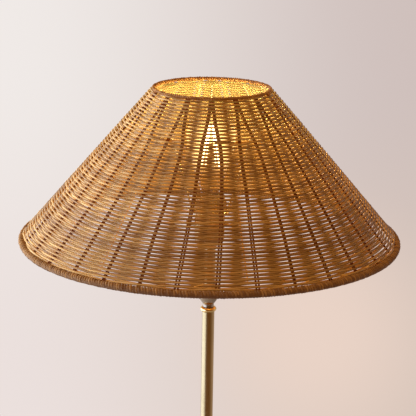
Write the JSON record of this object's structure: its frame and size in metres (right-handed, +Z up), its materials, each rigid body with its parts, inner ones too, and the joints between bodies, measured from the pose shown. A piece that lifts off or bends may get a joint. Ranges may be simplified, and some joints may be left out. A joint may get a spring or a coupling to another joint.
{
  "type": "floor lamp",
  "caption": "Floor lamp with a wide conical woven rattan shade on a slim turned brass pole and a low round weighted base.",
  "frame": {"origin": "on the floor under the pole's axis, at the centre of the base", "axes": "+Z up along the pole, -Y towards the front of the lamp, +X to the right as seen from the front; the lead's inlet faces +Y"},
  "size_m": [0.4998, 0.4998, 1.4509],
  "materials": {
    "antique_brass": "aged satin",
    "bare_brass": "bright turned",
    "steel": "zinc plated",
    "painted_wire": "satin cream",
    "cast_iron": "rough black",
    "felt": "pressed felt",
    "rattan_weave": "natural woven cane",
    "rattan_rim": "natural wrapped cane",
    "porcelain": "glazed",
    "black_plastic": "moulded",
    "white_plastic": "moulded",
    "clear_glass": "clear blown",
    "filament_glow": "lit phosphor coating",
    "circuit_board": "printed board"
  },
  "bodies": {
    "stand": {"base_cover": "antique_brass", "base_felt": "felt", "base_nipple": "steel", "base_nut": "steel", "base_spacer": "steel", "base_washer": "steel", "base_weight": "cast_iron", "cord_gland": "black_plastic", "terminal_block": "white_plastic", "inner_lead": "black_plastic", "foot_collar": "antique_brass", "foot_plug": "steel", "pole_tube_lower": "antique_brass", "pole_tube_middle": "antique_brass", "pole_tube_upper": "antique_brass", "pole_joiner_lower": "bare_brass", "pole_joiner_upper": "bare_brass", "pole_top_plug": "steel", "stem_rod": "steel", "pole_bead": "antique_brass", "pole_cup": "antique_brass", "stem_tube": "antique_brass", "holder_cap": "antique_brass", "holder_grub_screw": "steel", "holder_shell": "antique_brass", "holder_insert": "porcelain", "holder_screw_shell": "bare_brass", "holder_contact": "bare_brass", "terminal_screw_left": "bare_brass", "terminal_screw_right": "bare_brass"},
    "switch": {"switch_bar": "antique_brass"},
    "ring": {"retaining_ring": "antique_brass"},
    "bulb": {"bulb_contact": "steel", "bulb_cap": "steel", "bulb_driver": "circuit_board", "bulb_glass": "clear_glass", "bulb_stem": "clear_glass", "bulb_support": "steel", "bulb_filament_1": "filament_glow", "bulb_filament_2": "filament_glow", "bulb_filament_3": "filament_glow", "bulb_filament_4": "filament_glow"},
    "shade": {"fitter_ring": "painted_wire", "fitter_top_ring": "painted_wire", "fitter_arm_back": "painted_wire", "fitter_arm_left": "painted_wire", "fitter_arm_right": "painted_wire", "shade_weave": "rattan_weave", "shade_bottom_rim": "rattan_rim", "shade_top_rim": "rattan_rim"}
  },
  "joints": [
    {"name": "shade_turn", "type": "hinge", "parent": "stand", "child": "shade", "pos_m": [0, 0, 1.2863], "axis": [0, 0, 1], "continuous": true},
    {"name": "retaining_ring_turn", "type": "hinge", "parent": "stand", "child": "ring", "pos_m": [0, 0, 1.2882], "axis": [0, 0, 1], "range_deg": [0, 2520]},
    {"name": "bulb_turn", "type": "hinge", "parent": "stand", "child": "bulb", "pos_m": [0, 0, 1.2818], "axis": [0, 0, 1], "range_deg": [0, 2160]},
    {"name": "switch_slide", "type": "slide", "parent": "stand", "child": "switch", "axis": [1, 0, 0], "range_m": [0, 0.006]}
  ]
}
